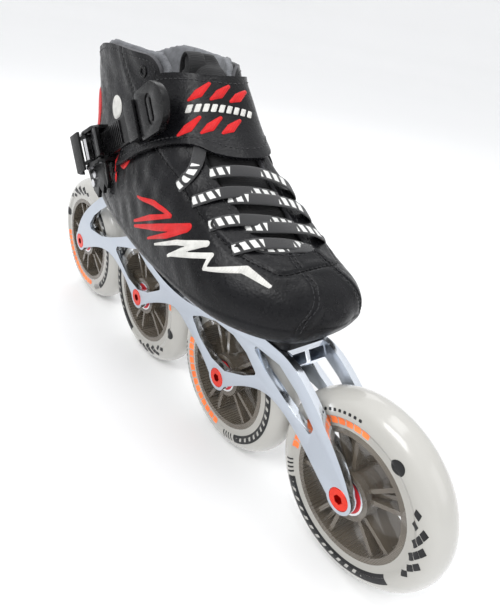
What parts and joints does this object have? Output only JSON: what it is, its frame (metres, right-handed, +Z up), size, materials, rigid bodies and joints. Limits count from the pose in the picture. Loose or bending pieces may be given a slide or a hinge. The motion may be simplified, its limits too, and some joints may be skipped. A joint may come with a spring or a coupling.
{
  "type": "inline speed skate",
  "caption": "Right-foot inline speed skate: low leather boot with laced throat and ratchet ankle strap on an aluminium truss frame with in-line wheels.",
  "frame": {"origin": "on the ground, midway between the first and last axles, on the centre plane of the wheels", "axes": "+X to the toe along the line of wheels, +Y to the inner side of the foot, +Z up"},
  "size_m": [0.4454, 0.0959, 0.242],
  "materials": {
    "tyre": "translucent cast urethane",
    "wheel_core": "smoked translucent moulding",
    "red_shield": "satin red",
    "bearing_steel": "ground steel",
    "spacer": "turned",
    "red_anodised": "red anodised",
    "frame_silver": "satin silver anodised",
    "fastener_steel": "bright",
    "boot_rand": "smooth black composite",
    "boot_leather": "fine grain, soft sheen",
    "collar_lining": "brushed grey textile",
    "tongue_fabric": "padded black textile",
    "insole_foam": "covered foam",
    "lace_black": "woven flat lace",
    "black_plastic": "moulded, satin gloss",
    "embroidery_red": "raised thread",
    "embroidery_white": "raised thread",
    "print_orange": "printed",
    "print_black": "printed"
  },
  "bodies": {
    "root": {"ankle_strap": "boot_leather", "buckle_base": "black_plastic", "buckle_rivets": "fastener_steel", "collar_padding": "collar_lining", "eyelets": "black_plastic", "facing_lateral": "boot_leather", "facing_medial": "boot_leather", "frame": "frame_silver", "insole": "insole_foam", "laces": "lace_black", "lever_pin": "fastener_steel", "mount_bolts": "fastener_steel", "mount_inserts": "fastener_steel", "mount_washers": "fastener_steel", "pawl_pin": "fastener_steel", "shell_cup": "boot_rand", "tongue": "tongue_fabric", "vamp_lateral": "boot_leather", "vamp_medial": "boot_leather", "wheel_1_axle": "red_anodised", "wheel_1_bearing_inner": "bearing_steel", "wheel_1_spacer": "spacer", "wheel_2_axle": "red_anodised", "wheel_2_bearing_inner": "bearing_steel", "wheel_2_spacer": "spacer", "wheel_3_axle": "red_anodised", "wheel_3_bearing_inner": "bearing_steel", "wheel_3_spacer": "spacer", "wheel_4_axle": "red_anodised", "wheel_4_bearing_inner": "bearing_steel", "wheel_4_spacer": "spacer"},
    "lever": {"buckle_lever": "black_plastic", "drive_pawl": "bearing_steel"},
    "strap_end": {"ladder_strap": "black_plastic", "strap_keeper": "black_plastic"},
    "pawl": {"lock_pawl": "black_plastic"},
    "wheel_1_balls": {"wheel_1_bearing_balls": "bearing_steel"},
    "wheel_1": {"wheel_1_bearing_outer": "bearing_steel", "wheel_1_bearing_shields": "red_shield", "wheel_1_hub": "wheel_core", "wheel_1_tyre": "tyre"},
    "wheel_2_balls": {"wheel_2_bearing_balls": "bearing_steel"},
    "wheel_2": {"wheel_2_bearing_outer": "bearing_steel", "wheel_2_bearing_shields": "red_shield", "wheel_2_hub": "wheel_core", "wheel_2_tyre": "tyre"},
    "wheel_3_balls": {"wheel_3_bearing_balls": "bearing_steel"},
    "wheel_3": {"wheel_3_bearing_outer": "bearing_steel", "wheel_3_bearing_shields": "red_shield", "wheel_3_hub": "wheel_core", "wheel_3_tyre": "tyre"},
    "wheel_4_balls": {"wheel_4_bearing_balls": "bearing_steel"},
    "wheel_4": {"wheel_4_bearing_outer": "bearing_steel", "wheel_4_bearing_shields": "red_shield", "wheel_4_hub": "wheel_core", "wheel_4_tyre": "tyre"}
  },
  "joints": [
    {"name": "wheel_1_spin", "type": "hinge", "parent": "root", "child": "wheel_1", "pos_m": [0.1677, 0, 0.055], "axis": [0, 1, 0], "continuous": true},
    {"name": "wheel_1_cage_spin", "type": "hinge", "parent": "root", "child": "wheel_1_balls", "pos_m": [0.1677, 0, 0.055], "axis": [0, 1, 0], "continuous": true},
    {"name": "wheel_2_spin", "type": "hinge", "parent": "root", "child": "wheel_2", "pos_m": [0.0559, 0, 0.055], "axis": [0, 1, 0], "continuous": true},
    {"name": "wheel_2_cage_spin", "type": "hinge", "parent": "root", "child": "wheel_2_balls", "pos_m": [0.0559, 0, 0.055], "axis": [0, 1, 0], "continuous": true},
    {"name": "wheel_3_spin", "type": "hinge", "parent": "root", "child": "wheel_3", "pos_m": [-0.0559, 0, 0.055], "axis": [0, 1, 0], "continuous": true},
    {"name": "wheel_3_cage_spin", "type": "hinge", "parent": "root", "child": "wheel_3_balls", "pos_m": [-0.0559, 0, 0.055], "axis": [0, 1, 0], "continuous": true},
    {"name": "wheel_4_spin", "type": "hinge", "parent": "root", "child": "wheel_4", "pos_m": [-0.1677, 0, 0.055], "axis": [0, 1, 0], "continuous": true},
    {"name": "wheel_4_cage_spin", "type": "hinge", "parent": "root", "child": "wheel_4_balls", "pos_m": [-0.1677, 0, 0.055], "axis": [0, 1, 0], "continuous": true},
    {"name": "strap_slide", "type": "slide", "parent": "root", "child": "strap_end", "axis": [0.8572, 0, 0.515], "range_m": [0, 0.02]},
    {"name": "lever_lift", "type": "hinge", "parent": "root", "child": "lever", "pos_m": [-0.07771, -0.0476, 0.16397], "axis": [-0.515, 0, 0.8572], "range_deg": [0, 40], "stiffness_Nm_per_rad": 0.02, "springref_deg": -11.46},
    {"name": "pawl_release", "type": "hinge", "parent": "root", "child": "pawl", "pos_m": [-0.06657, -0.0462, 0.17067], "axis": [-0.515, 0, 0.8572], "range_deg": [0, 15], "stiffness_Nm_per_rad": 0.02, "springref_deg": -11.46}
  ],
  "couplings": [
    {"joint": "wheel_1_cage_spin", "follows": "wheel_1_spin", "ratio": 0.628},
    {"joint": "wheel_2_cage_spin", "follows": "wheel_2_spin", "ratio": 0.628},
    {"joint": "wheel_3_cage_spin", "follows": "wheel_3_spin", "ratio": 0.628},
    {"joint": "wheel_4_cage_spin", "follows": "wheel_4_spin", "ratio": 0.628}
  ]
}
